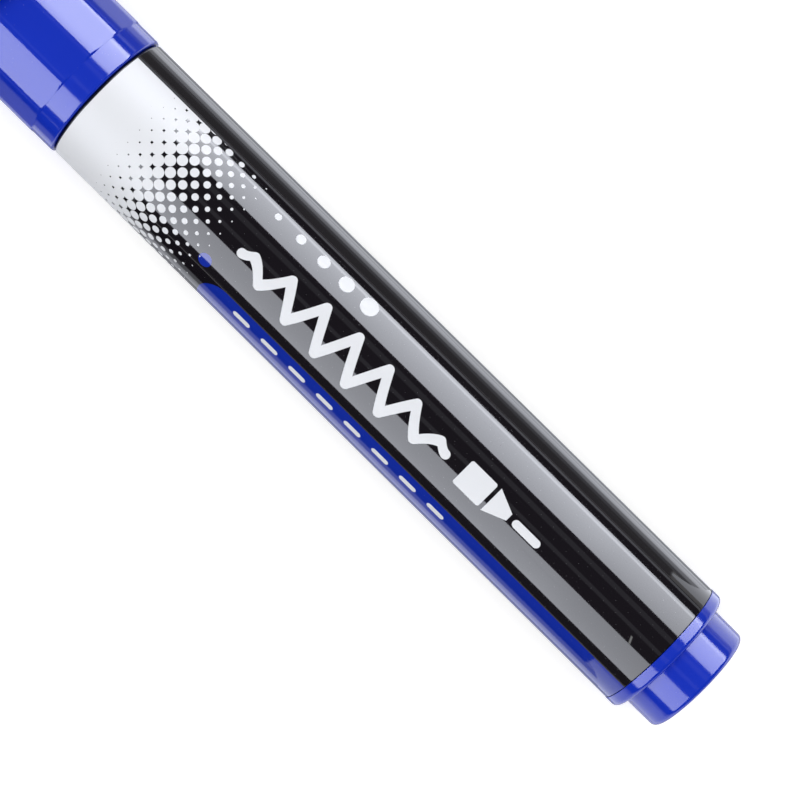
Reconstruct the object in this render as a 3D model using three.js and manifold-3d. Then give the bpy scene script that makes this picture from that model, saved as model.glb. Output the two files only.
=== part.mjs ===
// A felt-tipped oil-based marker with a push-on cap, lying on a table.
// Millimetres. +X runs along the marker from the cap to the tail plug and +Z is up.
// The origin is on the table, under the middle of the closed marker.

import * as THREE from "three";
import { mergeVertices } from "three/addons/utils/BufferGeometryUtils.js";
import Module from "manifold-3d";

// Round pieces: every one has the same number of sides, so that neighbours nest.
const sidesPerTurn = 48;
const arcSteps = 4;

// Barrel and the film printed around it.
const bodyDiameter = 17;
const bodyTaper = 0.3;
const barrelLength = 87;
const barrelWall = 1.25;
const barrelStepWall = 1.6;
const barrelEdgeChamfer = 0.3;
const filmThickness = 0.12;
const filmGap = 0.03;
const filmInset = 0.2;
const filmRecess = 0.05;

// Neck that the cap is pushed onto, with its snap bead.
const neckLength = 12;
const neckWall = 1.2;
const snapBeadHeight = 0.15;
const snapBeadWidth = 1.4;
const snapBeadSetback = 3.2;

// Ribs inside the barrel, which centre the ink reservoir and let air past it.
const ribCount = 6;
const ribWidth = 0.9;
const ribHeight = 0.35;
const ribEndMargin = 2;

// Ink reservoir: a fibre rod in a film wrap.
const wrapThickness = 0.2;

// Tail plug: flange, grip knob and a hollow skirt with two sealing beads.
const flangeLength = 1.5;
const flangeRound = 0.6;
const knobLength = 4.7;
const knobRound = 0.7;
const plugSkirtLength = 9;
const plugWall = 1.25;
const plugEndWall = 1.6;
const plugBeadHeight = 0.15;
const plugBeadWidth = 1.1;
const plugBeadCount = 2;
const plugBeadPitch = 2.6;
const plugLeadIn = 0.8;

// Nib section: flange, sealing land, cone and nose in front, skirt and nib sleeve behind.
const sectionFlangeStep = 0.6;
const sectionFlangeLength = 1.2;
const sealLength = 4.5;
const coneLength = 6;
const noseWall = 1;
const noseLength = 1;
const noseRound = 0.5;
const sectionSkirtLength = 9;
const sectionSkirtWall = 0.9;
const sleeveWall = 0.7;
const sleeveLength = 12.6;
const ventGrooveCount = 3;
const ventGrooveWidth = 0.6;
const ventGrooveDepth = 0.25;

// Nib: a stiff fibre rod with a bullet point in front and a blunt cone behind.
const nibDiameter = 4.6;
const nibReach = 5.5;
const nibPointLength = 3.4;
const nibPointRound = 0.8;
const nibPointCone = 2.2;
const nibPointSpread = 52;
const nibPointInset = 0.16;
const nibInsertion = 7.5;
const nibTailLength = 2.5;
const nibTailRadius = 0.8;

// Cap: a twelve-sided shell with a round collar at its rim, a pocket clip and air vents.
const capSides = 12;
const capCornerTrim = 0.1;
const capWall = 1.4;
const capEndWall = 1.5;
const capEndRound = 1.6;
const capCollarLength = 3.2;
const capMouthChamfer = 0.35;
const capVentCount = 3;
const capVentRadius = 0.9;
const capVentInset = 2.5;
const capVentSides = 16;
const clipWidth = 4.2;
const clipThickness = 1.5;
const clipGap = 2.1;
const clipLength = 29;
const clipRootStart = 1.8;
const clipRootLength = 5.2;
const clipBumpLength = 3.6;
const clipBumpLeadIn = 1.1;
const clipBumpClearance = 0.4;

// Inner cap: a thimble that seals over the nib section, held in the shell by fins.
const innerCapWall = 0.9;
const innerCapOverlap = 3;
const innerCapHeadroom = 6.5;
const innerCapStandoff = 5.4;
const innerCapEndRound = 0.8;
const finHeight = 1.05;
const finCount = 6;
const finThickness = 0.9;
const finMouthMargin = 7;

// Clearances between pieces, each measured on one side.
const slidingGap = 0.05;
const seatGap = 0.1;
const endGap = 0.3;

// How far a joined piece reaches into the other, and a cut reaches past it.
const weldDepth = 0.4;
const cutReach = 1;

const wasm = await Module();
wasm.setup();

// Radii and stations that follow from the sizes. Stations run along +X from the cap's closed end.
const bodyRadius = bodyDiameter / 2;
const barrelTailRadius = bodyRadius - filmRecess - filmThickness - filmGap;
const barrelFrontRadius = barrelTailRadius - bodyTaper / 2;
const barrelBore = barrelTailRadius - barrelWall;
const capBore = bodyRadius - capWall;
const neckRadius = capBore - slidingGap - snapBeadHeight;
const neckBore = neckRadius - neckWall;
const knobRadius = capBore - slidingGap;
const plugSkirtRadius = barrelBore - slidingGap - plugBeadHeight;
const innerCapRadius = capBore - finHeight;
const innerCapBore = innerCapRadius - innerCapWall;
const sealRadius = innerCapBore - slidingGap;
const nibRadius = nibDiameter / 2;
const nibBore = nibRadius + slidingGap;
const wrapRadius = barrelBore - ribHeight - slidingGap;
const coreRadius = wrapRadius - wrapThickness - slidingGap;

const cavityStation = capEndWall + seatGap + innerCapStandoff + innerCapWall;
const noseStation = cavityStation + innerCapHeadroom + nibReach;
const sealFrontStation = noseStation + noseLength + coneLength;
const innerCapStation = sealFrontStation + innerCapOverlap;
const sectionStation = sealFrontStation + sealLength + sectionFlangeLength;
const shoulderStation = sectionStation + seatGap + neckLength;
const capLength = shoulderStation - seatGap;
const barrelEndStation = shoulderStation + barrelLength;
const plugStation = barrelEndStation + seatGap;
const overallLength = plugStation + flangeLength + knobLength;
const reservoirStation = shoulderStation + barrelStepWall + endGap;
const reservoirLength = barrelEndStation - plugSkirtLength - endGap - reservoirStation;

// A closed geometry as a solid that can be joined and cut.
function solidOf(geometry) {
  const bare = geometry.index ? geometry.toNonIndexed() : geometry.clone();
  bare.deleteAttribute("normal");
  bare.deleteAttribute("uv");
  const merged = mergeVertices(bare, 1e-4);
  return new wasm.Manifold(
    new wasm.Mesh({
      numProp: 3,
      vertProperties: merged.attributes.position.array,
      triVerts: new Uint32Array(merged.index.array),
    }),
  );
}

// A joined or cut solid as a geometry that a mesh can hold.
function geometryOf(solid) {
  const mesh = solid.getMesh();
  const geometry = new THREE.BufferGeometry();
  geometry.setAttribute("position", new THREE.BufferAttribute(mesh.vertProperties, 3));
  geometry.setIndex(new THREE.BufferAttribute(mesh.triVerts, 1));
  const flat = geometry.toNonIndexed();
  flat.computeVertexNormals();
  return flat;
}

// A profile of [x, radius] points turned about the X axis. It runs towards -X along the outside.
function turned(profile, sides = sidesPerTurn, startAngle = 0) {
  const points = profile.map(([x, radius]) => new THREE.Vector2(Math.max(radius, 0), x)).reverse();
  const geometry = new THREE.LatheGeometry(points, sides, startAngle, 2 * Math.PI);
  return geometry.rotateZ(-Math.PI / 2);
}

// A solid rod along X, from one station to another.
function rod(from, to, radius, sides = sidesPerTurn, startAngle = 0) {
  return solidOf(turned([[to, 0], [to, radius], [from, radius], [from, 0]], sides, startAngle));
}

// Points on a round edge of a profile, in degrees: 0 is +X and 90 is outwards.
function roundEdge(x, radius, round, fromAngle, toAngle) {
  return Array.from({ length: arcSteps + 1 }, (_, step) => {
    const angle = THREE.MathUtils.degToRad(fromAngle + ((toAngle - fromAngle) * step) / arcSteps);
    return [x + round * Math.cos(angle), radius + round * Math.sin(angle)];
  });
}

// A low ridge around a profile, centred on x. The middle third of it is flat.
function bead(x, radius, width, height) {
  const crest = width / 3;
  return [[x + width / 2, radius], [x + crest / 2, radius + height],
    [x - crest / 2, radius + height], [x - width / 2, radius]];
}

// A box between two distances from the X axis, standing towards +Z and then turned about X.
function radialBox(from, to, width, inner, outer, angle) {
  const box = new THREE.BoxGeometry(to - from, width, outer - inner);
  box.translate((from + to) / 2, 0, (inner + outer) / 2);
  return solidOf(box.rotateX(angle));
}

function around(count, make) {
  return Array.from({ length: count }, (_, index) => make((index * 2 * Math.PI) / count));
}

// Starts at the shoulder where the cap stops. The neck is on its -X side.
function barrelGeometry() {
  const tube = solidOf(turned([
    [barrelLength, barrelBore],
    [barrelLength, barrelTailRadius],
    [barrelEdgeChamfer, barrelFrontRadius],
    [0, barrelFrontRadius - barrelEdgeChamfer],
    [0, neckRadius],
    ...bead(-snapBeadSetback, neckRadius, snapBeadWidth, snapBeadHeight),
    [-neckLength + barrelEdgeChamfer, neckRadius],
    [-neckLength, neckRadius - barrelEdgeChamfer],
    [-neckLength, neckBore],
    [barrelStepWall, neckBore],
    [barrelStepWall, barrelBore],
    [barrelLength, barrelBore],
  ]));
  const ribTo = barrelLength - plugSkirtLength - ribEndMargin;
  const ribs = around(ribCount, (angle) =>
    radialBox(barrelStepWall - weldDepth, ribTo, ribWidth,
      barrelBore - ribHeight, barrelBore + weldDepth, angle));
  return geometryOf(ribs.reduce((whole, rib) => whole.add(rib), tube));
}

// Follows the barrel's taper, and leaves a narrow bare edge at each end.
function filmGeometry() {
  const radiusAt = (x) =>
    barrelFrontRadius + ((barrelTailRadius - barrelFrontRadius) * x) / barrelLength + filmGap;
  const front = Math.max(filmInset, barrelEdgeChamfer);
  const back = barrelLength - filmInset;
  return turned([
    [back, radiusAt(back)],
    [back, radiusAt(back) + filmThickness],
    [front, radiusAt(front) + filmThickness],
    [front, radiusAt(front)],
    [back, radiusAt(back)],
  ]);
}

// Starts at the flange's face against the barrel. The skirt is on its -X side.
function tailPlugGeometry() {
  const knobEnd = flangeLength + knobLength;
  const beads = Array.from({ length: plugBeadCount }, (_, index) =>
    bead(-plugBeadPitch * (index + 1), plugSkirtRadius, plugBeadWidth, plugBeadHeight));
  return turned([
    [knobEnd, 0],
    ...roundEdge(knobEnd - knobRound, knobRadius - knobRound, knobRound, 0, 90),
    [flangeLength, knobRadius],
    ...roundEdge(flangeLength - flangeRound, bodyRadius - flangeRound, flangeRound, 0, 90),
    [0, bodyRadius],
    [0, plugSkirtRadius],
    ...beads.flat(),
    [-plugSkirtLength + plugLeadIn, plugSkirtRadius],
    [-plugSkirtLength, plugSkirtRadius - plugLeadIn / 2],
    [-plugSkirtLength, plugSkirtRadius - plugWall],
    [knobEnd - plugEndWall, plugSkirtRadius - plugWall],
    [knobEnd - plugEndWall, 0],
  ]);
}

// Starts at the flange's face against the neck. The nose is on its -X side.
function nibSectionGeometry() {
  const flangeRadius = neckRadius - sectionFlangeStep;
  const noseRadius = nibBore + noseWall;
  const skirtRadius = neckBore - slidingGap;
  const sealBack = -sectionFlangeLength;
  const sealFront = sealBack - sealLength;
  const noseBack = sealFront - coneLength;
  const noseFront = noseBack - noseLength;
  const shell = solidOf(turned([
    [sleeveLength, nibBore],
    [sleeveLength, nibBore + sleeveWall],
    [0, nibBore + sleeveWall],
    [0, skirtRadius - sectionSkirtWall],
    [sectionSkirtLength, skirtRadius - sectionSkirtWall],
    [sectionSkirtLength, skirtRadius],
    [0, skirtRadius],
    [0, flangeRadius],
    [sealBack, flangeRadius],
    [sealBack, sealRadius],
    [sealFront, sealRadius],
    [noseBack, noseRadius],
    ...roundEdge(noseFront + noseRound, noseRadius - noseRound, noseRound, 90, 180),
    [noseFront, nibBore],
    [sleeveLength, nibBore],
  ]));
  const grooves = around(ventGrooveCount, (angle) =>
    radialBox(noseFront - cutReach, sleeveLength + cutReach, ventGrooveWidth, nibBore / 2,
      nibBore + ventGrooveDepth, angle));
  return geometryOf(grooves.reduce((whole, groove) => whole.subtract(groove), shell));
}

// Starts at the nose's front face. The writing point is on its -X side.
function nibProfile(grow) {
  const coneBack = -nibReach + nibPointCone;
  const bendBack = -nibReach + nibPointLength;
  const tailEnd = reservoirStation + nibInsertion - noseStation;
  return [
    [tailEnd + grow, 0],
    [tailEnd + grow, nibTailRadius + grow],
    [tailEnd - nibTailLength, nibRadius + grow],
    [bendBack, nibRadius + grow],
    [coneBack, nibRadius - nibPointInset + grow],
    ...roundEdge(-nibReach + nibPointRound, 0, nibPointRound, 180 - nibPointSpread, 180),
  ];
}

function nibGeometry() {
  return turned(nibProfile(0));
}

// Starts at the reservoir's front face, where the nib goes in.
function reservoirCoreGeometry() {
  const fibre = rod(0, reservoirLength, coreRadius);
  const socket = nibProfile(slidingGap).map(([x, radius]) => [x + noseStation - reservoirStation, radius]);
  return geometryOf(fibre.subtract(solidOf(turned(socket))));
}

function reservoirWrapGeometry() {
  return turned([
    [reservoirLength, wrapRadius - wrapThickness],
    [reservoirLength, wrapRadius],
    [0, wrapRadius],
    [0, wrapRadius - wrapThickness],
    [reservoirLength, wrapRadius - wrapThickness],
  ]);
}

// The clip's side view, x along the cap and y away from its axis, from the closed end.
function clipShape() {
  const inner = bodyRadius + clipGap;
  const outer = inner + clipThickness;
  const rootBack = clipRootStart + clipRootLength;
  const rootDepth = bodyRadius - weldDepth;
  const tip = clipRootStart + clipLength;
  const bumpTop = bodyRadius + clipBumpClearance;
  const bumpFront = tip - clipBumpLength;
  const bumpMiddle = tip - clipBumpLength / 2;
  const bumpShoulder = bumpFront + clipBumpLeadIn;
  const shape = new THREE.Shape();
  shape.moveTo(clipRootStart, rootDepth);
  shape.lineTo(rootBack + clipGap / 2, rootDepth);
  shape.lineTo(rootBack + clipGap / 2, bodyRadius);
  shape.quadraticCurveTo(rootBack, bodyRadius, rootBack, inner - clipGap / 2);
  shape.quadraticCurveTo(rootBack, inner, rootBack + clipGap, inner);
  shape.lineTo(bumpFront, inner);
  shape.quadraticCurveTo(bumpShoulder, bumpTop, bumpMiddle, bumpTop);
  shape.quadraticCurveTo(tip, bumpTop, tip, inner);
  shape.quadraticCurveTo(tip, outer, tip - clipThickness, outer);
  shape.lineTo(rootBack, outer);
  shape.quadraticCurveTo(clipRootStart + clipThickness / 2, outer, clipRootStart, bodyRadius);
  shape.closePath();
  return shape;
}

// Starts at the closed end's outer face and runs to the rim.
function capShellGeometry() {
  const sharpRadius = bodyRadius / Math.cos(Math.PI / capSides);
  const cornerRadius = sharpRadius - capCornerTrim;
  const facetsEnd = capLength - capCollarLength;
  const blank = solidOf(turned([
    [facetsEnd, 0],
    [facetsEnd, cornerRadius],
    ...roundEdge(capEndRound, cornerRadius - capEndRound, capEndRound, 90, 180),
    [0, 0],
  ]));
  const prism = rod(0, facetsEnd, sharpRadius, capSides, Math.PI / capSides);
  const collar = solidOf(turned([
    [capLength, 0],
    ...roundEdge(capLength - capMouthChamfer, bodyRadius - capMouthChamfer, capMouthChamfer, 0, 90),
    [facetsEnd - weldDepth, bodyRadius],
    [facetsEnd - weldDepth, 0],
  ]));
  const clip = new THREE.ExtrudeGeometry(clipShape(), {
    depth: clipWidth,
    bevelEnabled: false,
    curveSegments: arcSteps,
  });
  clip.translate(0, 0, -clipWidth / 2).rotateX(Math.PI / 2);
  const bore = solidOf(turned([
    [capLength + cutReach, 0],
    [capLength + cutReach, capBore + capMouthChamfer],
    [capLength, capBore + capMouthChamfer],
    [capLength - capMouthChamfer, capBore],
    [capEndWall, capBore],
    [capEndWall, 0],
  ]));
  const ventOffset = capBore - capVentInset;
  const vents = around(capVentCount, (angle) =>
    rod(-cutReach, capEndWall + cutReach, capVentRadius, capVentSides)
      .translate([0, -Math.sin(angle) * ventOffset, Math.cos(angle) * ventOffset]));
  const shell = blank.intersect(prism).add(collar).add(solidOf(clip)).subtract(bore);
  return geometryOf(vents.reduce((whole, vent) => whole.subtract(vent), shell));
}

// Starts at the mouth. The closed end and the fins' far ends are on its -X side.
// The fins stand between the shell's vents.
function innerCapGeometry() {
  const cavityDepth = innerCapStation - cavityStation;
  const closedEnd = -cavityDepth - innerCapWall;
  const finEnd = capEndWall + seatGap - innerCapStation;
  const finRadius = capBore - slidingGap;
  const finReach = Math.sqrt(finRadius ** 2 - (finThickness / 2) ** 2);
  const thimble = solidOf(turned([
    [0, 0],
    [0, innerCapRadius],
    ...roundEdge(closedEnd + innerCapEndRound, innerCapRadius - innerCapEndRound,
      innerCapEndRound, 90, 180),
    [closedEnd, 0],
  ]));
  const fins = around(finCount, (angle) =>
    radialBox(finEnd, -finMouthMargin, finThickness, 0, finReach, angle + Math.PI / finCount));
  const cavity = rod(-cavityDepth, cutReach, innerCapBore);
  return geometryOf(fins.reduce((whole, fin) => whole.add(fin), thimble).subtract(cavity));
}

function plastic(color, roughness) {
  return new THREE.MeshStandardMaterial({ color, roughness, metalness: 0 });
}

const bluePlastic = plastic(0x142fb8, 0.28);
const blackFilm = plastic(0x17141a, 0.18);
const blackPlastic = plastic(0x1a191c, 0.35);
const naturalPlastic = plastic(0xe9eaec, 0.4);
const inkedFibre = plastic(0x10206e, 0.9);
const reservoirFibre = plastic(0x1b2f8f, 0.95);
const clearWrap = plastic(0xd8dce4, 0.2);

function piece(name, geometry, material, station) {
  const mesh = new THREE.Mesh(geometry, material);
  mesh.name = name;
  mesh.position.x = station;
  return mesh;
}

const penBody = new THREE.Group();
penBody.add(
  piece("barrel", barrelGeometry(), blackPlastic, shoulderStation),
  piece("printed_film", filmGeometry(), blackFilm, shoulderStation),
  piece("nib_section", nibSectionGeometry(), blackPlastic, sectionStation),
  piece("nib", nibGeometry(), inkedFibre, noseStation),
  piece("reservoir_core", reservoirCoreGeometry(), reservoirFibre, reservoirStation),
  piece("reservoir_wrap", reservoirWrapGeometry(), clearWrap, reservoirStation),
);

const tailPlug = new THREE.Group();
tailPlug.add(piece("tail_plug", tailPlugGeometry(), bluePlastic, plugStation));

const cap = new THREE.Group();
cap.add(
  piece("cap_shell", capShellGeometry(), bluePlastic, 0),
  piece("inner_cap", innerCapGeometry(), naturalPlastic, innerCapStation),
);

const marker = new THREE.Group();
marker.add(penBody, tailPlug, cap);
marker.position.set(-overallLength / 2, 0, bodyRadius);

export default marker;
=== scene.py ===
import math
from functools import partial

import bmesh
import bpy
from mathutils import Matrix, Vector


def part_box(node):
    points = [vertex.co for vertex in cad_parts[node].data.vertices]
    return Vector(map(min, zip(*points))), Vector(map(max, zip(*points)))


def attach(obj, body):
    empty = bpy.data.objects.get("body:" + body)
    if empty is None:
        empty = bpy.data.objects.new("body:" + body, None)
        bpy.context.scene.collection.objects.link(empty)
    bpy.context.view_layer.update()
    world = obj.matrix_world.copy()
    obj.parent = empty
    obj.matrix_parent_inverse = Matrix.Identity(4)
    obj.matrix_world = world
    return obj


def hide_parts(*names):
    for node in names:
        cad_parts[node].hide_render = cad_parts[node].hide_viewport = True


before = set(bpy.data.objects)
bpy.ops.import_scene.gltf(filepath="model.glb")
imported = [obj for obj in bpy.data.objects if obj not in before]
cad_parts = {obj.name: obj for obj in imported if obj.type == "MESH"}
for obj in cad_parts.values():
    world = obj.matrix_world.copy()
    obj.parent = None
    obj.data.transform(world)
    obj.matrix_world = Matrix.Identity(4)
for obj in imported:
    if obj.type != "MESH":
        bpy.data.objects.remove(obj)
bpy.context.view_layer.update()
print("frame loaded:", ", ".join(sorted(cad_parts)))

mm = 0.001
tiny = 1e-6  # a radius under this lies on the axis
mergeDistance = 1e-7
sharpAngle = 34


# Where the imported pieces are, in millimetres

def endsOf(node):
    low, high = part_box(node)
    return low.x / mm, high.x / mm


def radiusOf(node):
    low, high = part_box(node)
    return (high.y - low.y) / 2 / mm


bodyRadius = radiusOf("tail_plug")
axisHeight = bodyRadius
neckFront, barrelBack = endsOf("barrel")
filmFront, filmBack = endsOf("printed_film")
noseFront, sleeveBack = endsOf("nib_section")
nibTip, nibBack = endsOf("nib")
coreFront, coreBack = endsOf("reservoir_core")
skirtFront, knobBack = endsOf("tail_plug")
capFront, capRim = endsOf("cap_shell")
finFront, thimbleMouth = endsOf("inner_cap")

fits = {"sliding": 0.05, "seat": 0.1, "root": 0.4}  # root: how deep ribs and fins start in their wall
shoulder = capRim + fits["seat"]


# Node trees

def put(tree, socket, value):  # links an output, or sets a plain value
    if isinstance(value, bpy.types.NodeSocket):
        tree.links.new(value, socket)
    else:
        socket.default_value = value


def keyOf(item):  # a socket's label as one word in camelCase
    label = item.name.replace(" ", "")
    return label if label.isupper() else label[:1].lower() + label[1:]


def putNamed(tree, sockets, values):
    for socket in sockets:
        if keyOf(socket) in values:
            put(tree, socket, values[keyOf(socket)])


def addNode(tree, kind, inputs=None, **settings):
    made = tree.nodes.new(kind)
    for key, value in settings.items():
        setattr(made, key, value)
    for key, value in (inputs or {}).items():
        put(tree, made.inputs[key], value)
    return made


def nodeOut(tree, kind, inputs=None, **settings):
    return addNode(tree, kind, inputs, **settings).outputs[0]


def calc(operation, tree, *values, clamp=False):
    inputs = dict(enumerate(values))
    return nodeOut(tree, "ShaderNodeMath", inputs, operation=operation, use_clamp=clamp)


plus, minus, times, over, timesPlus, largest = (partial(calc, operation) for operation in (
    "ADD", "SUBTRACT", "MULTIPLY", "DIVIDE", "MULTIPLY_ADD", "MAXIMUM"))


def hypotenuse(tree, a, b):
    return calc("SQRT", tree, timesPlus(tree, a, a, times(tree, b, b)))


def between(tree, factor, low, high):
    return timesPlus(tree, factor, high - low, low)


def vector(tree, x, y, z):
    return nodeOut(tree, "ShaderNodeCombineXYZ", {0: x, 1: y, 2: z})


def parts(tree, where):
    return addNode(tree, "ShaderNodeSeparateXYZ", {0: where}).outputs


def newTree(name, inputs, *outputs):  # an input without a number is labelled with its own kind
    kind = "GeometryNodeTree" if "Geometry" in outputs else "ShaderNodeTree"
    tree = bpy.data.node_groups.new(name, kind)
    for label, value in inputs.items():
        word = label if value is None else {int: "Int", float: "Float"}[type(value)]
        socket = tree.interface.new_socket(label, in_out="INPUT", socket_type="NodeSocket" + word)
        if value is not None:
            socket.default_value = value
    for label in outputs:
        word = "Geometry" if label == "Geometry" else "Float"
        tree.interface.new_socket(label, in_out="OUTPUT", socket_type="NodeSocket" + word)
    return tree, tree.nodes.new("NodeGroupInput").outputs, tree.nodes.new("NodeGroupOutput").inputs


def useGroup(tree, group, **values):
    made = addNode(tree, "ShaderNodeGroup", node_tree=group)
    putNamed(tree, made.inputs, values)
    return made.outputs


# Mesh tools

def withNeighbours(points):  # each point of a closed outline between the ones before and after it
    return zip(points[-1:] + points[:-1], points, points[1:] + points[:1])


def arcAt(here, before, after, radius, steps):  # rounds one corner of an outline
    back = (before - here).normalized()
    ahead = (after - here).normalized()
    half = back.angle(ahead) / 2
    centre = here + (back + ahead).normalized() * (radius / math.sin(half))
    start = here + back * (radius / math.tan(half)) - centre
    end = here + ahead * (radius / math.tan(half)) - centre
    return [centre + start.slerp(end, step / steps) * radius for step in range(steps + 1)]


def roundedOutline(corners, steps):  # a corner is (x, radius) or (x, radius, rounding)
    points = []
    for before, (x, radius, *rounding), after in withNeighbours(corners):
        here = Vector((x, radius))
        if rounding:
            points += arcAt(here, Vector(before[:2]), Vector(after[:2]), rounding[0], steps)
        else:
            points.append(here)
    return points


def heldOutline(points, hold=0.12):  # extra points near a long stretch's ends keep its shading flat
    held = []
    for _, here, ahead in withNeighbours(points):
        held.append(here)
        way = ahead - here
        onAxis = here.y < tiny and ahead.y < tiny
        if way.length > 4 * hold and not onAxis:
            held += [here + way.normalized() * hold, ahead - way.normalized() * hold]
    return held


def besideAxis(x, radius, angle):  # a point in metres; the angle is from straight up towards +Y
    return Vector((x * mm, radius * math.sin(angle) * mm, (axisHeight + radius * math.cos(angle)) * mm))


def linked(name, data):
    made = bpy.data.objects.new(name, data)
    bpy.context.scene.collection.objects.link(made)
    return made


def meshObject(name, verts, faces):
    mesh = bpy.data.meshes.new(name)
    mesh.from_pydata(verts, [], faces)
    work = bmesh.new()
    work.from_mesh(mesh)
    bmesh.ops.remove_doubles(work, verts=work.verts, dist=mergeDistance)
    bmesh.ops.recalc_face_normals(work, faces=work.faces)
    work.to_mesh(mesh)
    work.free()
    return linked(name, mesh)


def turned(name, corners, sides=160, steps=7):  # a closed outline turned about the marker's axis
    verts, faces, rings = [], [], []
    for x, radius in heldOutline(roundedOutline(corners, steps)):
        onAxis = radius < tiny
        rings.append([len(verts) + (0 if onAxis else side) for side in range(sides)])
        for side in range(1 if onAxis else sides):
            verts.append(besideAxis(x, radius, math.tau * side / sides))
    for _, ring, ahead in withNeighbours(rings):
        for side in range(sides):
            nextSide = (side + 1) % sides
            face = list(dict.fromkeys([ring[side], ahead[side], ahead[nextSide], ring[nextSide]]))
            if len(face) > 2:
                faces.append(face)
    return meshObject(name, verts, faces)


def applied(piece):  # bakes a piece's modifiers into a plain mesh
    graph = bpy.context.evaluated_depsgraph_get()
    mesh = bpy.data.meshes.new_from_object(piece.evaluated_get(graph), depsgraph=graph)
    piece.modifiers.clear()
    piece.data = mesh


def combined(piece, other, operation):  # UNION or DIFFERENCE, and the other one is used up
    modifier = piece.modifiers.new(operation, "BOOLEAN")
    modifier.operation = operation
    modifier.solver = "EXACT"
    modifier.object = other
    applied(piece)
    bpy.data.objects.remove(other)


def place(piece, material, body, node):  # finishes a piece and joins it to its body
    piece.data.shade_smooth()
    piece.data.set_sharp_from_angle(angle=math.radians(sharpAngle))
    piece.data.materials.clear()
    piece.data.materials.append(material)
    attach(piece, body)
    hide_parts(node)
    print(piece.name, "made,", len(piece.data.polygons), "faces")


# Geometry Nodes: bars round the axis, and flat sides pressed into a shell

def shifted(tree, geometry, *way):
    inputs = {"Geometry": geometry, "Translation": vector(tree, *way)}
    return nodeOut(tree, "GeometryNodeTransform", inputs)


# the export drops instances, so they are made real
def endTree(tree, out, geometry, material):  # instances are made real, so the piece ends as a plain mesh
    real = nodeOut(tree, "GeometryNodeRealizeInstances", {0: geometry})
    put(tree, out[0], nodeOut(tree, "GeometryNodeSetMaterial", {"Geometry": real, "Material": material}))
    return tree


def barRingTree():
    tree, given, out = newTree("bar ring", {
        "Count": 6, "Start": 0.0, "End": 0.01, "Inner Radius": 0.005, "Outer Radius": 0.006, "Width": 0.001,
        "First Angle": 0.0, "Axis Height": axisHeight * mm, "Material": None,
    }, "Geometry")

    def halfway(a, b):
        return times(tree, plus(tree, a, b), 0.5)

    inner, outer = given["Inner Radius"], given["Outer Radius"]
    length = minus(tree, given["End"], given["Start"])
    size = vector(tree, length, given["Width"], minus(tree, outer, inner))
    bar = nodeOut(tree, "GeometryNodeMeshCube", {"Size": size})
    outwards = shifted(tree, bar, halfway(given["Start"], given["End"]), 0, halfway(inner, outer))
    points = nodeOut(tree, "GeometryNodePoints", {"Count": given["Count"]})
    index = nodeOut(tree, "GeometryNodeInputIndex")
    pitch = over(tree, math.tau, given["Count"])
    angle = timesPlus(tree, index, pitch, given["First Angle"])
    ring = nodeOut(tree, "GeometryNodeInstanceOnPoints", {
        "Points": points, "Instance": outwards, "Rotation": vector(tree, angle, 0, 0)})
    return endTree(tree, out, shifted(tree, ring, 0, 0, given["Axis Height"]), given["Material"])


def flatSidesTree():
    tree, given, out = newTree("flat sides", {
        "Geometry": None, "Sides": 12, "Flat Radius": 0.0085, "Corner Blend": 0.0001,
        "Axis Height": axisHeight * mm, "Material": None,
    }, "Geometry")
    x, y, z = parts(tree, nodeOut(tree, "GeometryNodeInputPosition"))
    up = minus(tree, z, given["Axis Height"])
    radius = hypotenuse(tree, y, up)
    halfPitch = over(tree, math.pi, given["Sides"])
    fromFlat = calc("WRAP", tree, calc("ARCTAN2", tree, y, up), halfPitch, times(tree, halfPitch, -1))
    reach = over(tree, given["Flat Radius"], calc("COSINE", tree, fromFlat))
    pressed = calc("SMOOTH_MIN", tree, radius, reach, given["Corner Blend"])
    share = over(tree, pressed, largest(tree, radius, tiny))
    where = vector(tree, x, times(tree, y, share), timesPlus(tree, up, share, given["Axis Height"]))
    shaped = nodeOut(tree, "GeometryNodeSetPosition", {"Geometry": given["Geometry"], "Position": where})
    return endTree(tree, out, shaped, given["Material"])


barRing = barRingTree()
flatSides = flatSidesTree()


def shapedBy(piece, tree, **values):  # runs a tree on a piece and keeps the plain mesh
    modifier = piece.modifiers.new(tree.name, "NODES")
    modifier.node_group = tree
    for item in tree.interface.items_tree:
        if item.in_out == "INPUT" and keyOf(item) in values:
            modifier[item.identifier] = values[keyOf(item)]
    applied(piece)


def bars(name, material, count, ends, radii, width, firstAngle=0, rounding=0.12):
    holder = meshObject(name, [(0, 0, 0)], [])
    shapedBy(holder, barRing, count=count, start=ends[0] * mm, end=ends[1] * mm,
             innerRadius=radii[0] * mm, outerRadius=radii[1] * mm, width=width * mm,
             firstAngle=math.radians(firstAngle), material=material)
    if rounding:
        edges = holder.modifiers.new("round edges", "BEVEL")
        edges.width = rounding * mm
        edges.segments = 3
        applied(holder)
    return holder


# Print: masks whose edges are measured in millimetres

def objectPlace(tree):
    return addNode(tree, "ShaderNodeTexCoord").outputs["Object"]


def unrolledGroup():  # the surface laid flat: millimetres along the marker and around it
    tree, given, out = newTree("unrolled", {"Radius": bodyRadius}, "Along", "Around")
    x, y, z = parts(tree, objectPlace(tree))
    up = minus(tree, z, axisHeight * mm)
    put(tree, out["Along"], over(tree, x, mm))
    put(tree, out["Around"], times(tree, calc("ARCTAN2", tree, y, up), given["Radius"]))
    return tree


def markGroup(name, sizes, maskOf):
    inputs = {"Along": 0.0, "Around": 0.0, **sizes, "Softness": 0.05}
    tree, given, out = newTree(name, inputs, "Mask")
    put(tree, out["Mask"], maskOf(tree, given))
    return tree


def softMask(tree, given, distance):  # distance is from the mark's edge, less than 0 inside it
    return minus(tree, 0.5, over(tree, distance, given["Softness"]), clamp=True)


def fromCentre(tree, given, way):
    return minus(tree, given[way], given["Centre " + way])


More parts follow.
